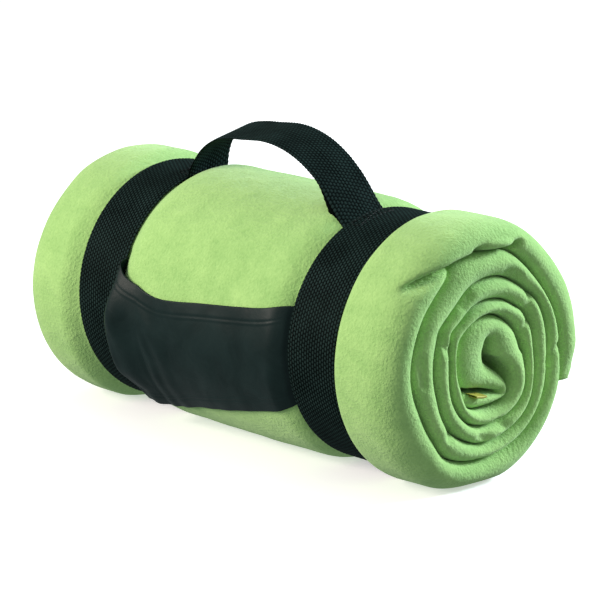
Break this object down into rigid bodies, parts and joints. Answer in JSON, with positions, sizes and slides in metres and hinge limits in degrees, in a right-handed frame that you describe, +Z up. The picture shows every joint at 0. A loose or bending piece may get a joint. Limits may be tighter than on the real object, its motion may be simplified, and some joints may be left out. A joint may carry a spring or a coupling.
{
  "type": "camp blanket",
  "caption": "Rolled fleece camp blanket in a webbing carrier with a top handle, a smooth front panel and hook-and-loop straps; straps open, handle swings, roll slides out",
  "frame": {"origin": "on the floor under the middle of the roll, where the roll rests flat", "axes": "+X along the roll towards the end with the care label, -Y to the front panel, +Z up through the handle"},
  "size_m": [0.32, 0.1551, 0.1835],
  "materials": {
    "fleece": "matte",
    "label": "matte",
    "webbing": "matte",
    "nylon": "satin",
    "hook_tape": "matte",
    "loop_tape": "matte",
    "thread": "matte"
  },
  "bodies": {
    "blanket": {"blanket_roll": "fleece", "care_label": "label"},
    "carrier": {"strap_left": "webbing", "strap_right": "webbing", "front_panel": "nylon", "loop_tape_left": "loop_tape", "loop_tape_right": "loop_tape", "handle_end_left": "webbing", "handle_end_right": "webbing", "handle_tack_stitching_left": "thread", "handle_tack_stitching_right": "thread", "panel_seam_stitching_left": "thread", "panel_seam_stitching_right": "thread", "panel_top_hem_stitching": "thread", "panel_bottom_hem_stitching": "thread"},
    "handle": {"handle": "webbing"},
    "left_free_end": {"strap_free_end_left": "webbing", "hook_tape_left": "hook_tape", "hook_tape_stitching_left": "thread"},
    "right_free_end": {"strap_free_end_right": "webbing", "hook_tape_right": "hook_tape", "hook_tape_stitching_right": "thread"}
  },
  "joints": [
    {"name": "carrier_slide", "type": "slide", "parent": "blanket", "child": "carrier", "axis": [1, 0, 0], "range_m": [-0.28, 0.28], "deforming": ["blanket_roll"]},
    {"name": "handle_swing", "type": "hinge", "parent": "carrier", "child": "handle", "pos_m": [0, -0.009, 0.14411], "axis": [0.9972, -0.0738, -0.0095], "range_deg": [-35, 40], "stiffness_Nm_per_rad": 0.05, "deforming": ["handle_end_left", "handle_end_right"]},
    {"name": "left_strap_opening", "type": "hinge", "parent": "carrier", "child": "left_free_end", "pos_m": [0, 0.02949, 0.14023], "axis": [1, 0, 0], "range_deg": [0, 115]},
    {"name": "right_strap_opening", "type": "hinge", "parent": "carrier", "child": "right_free_end", "pos_m": [0, 0.02949, 0.14023], "axis": [1, 0, 0], "range_deg": [0, 115]}
  ]
}
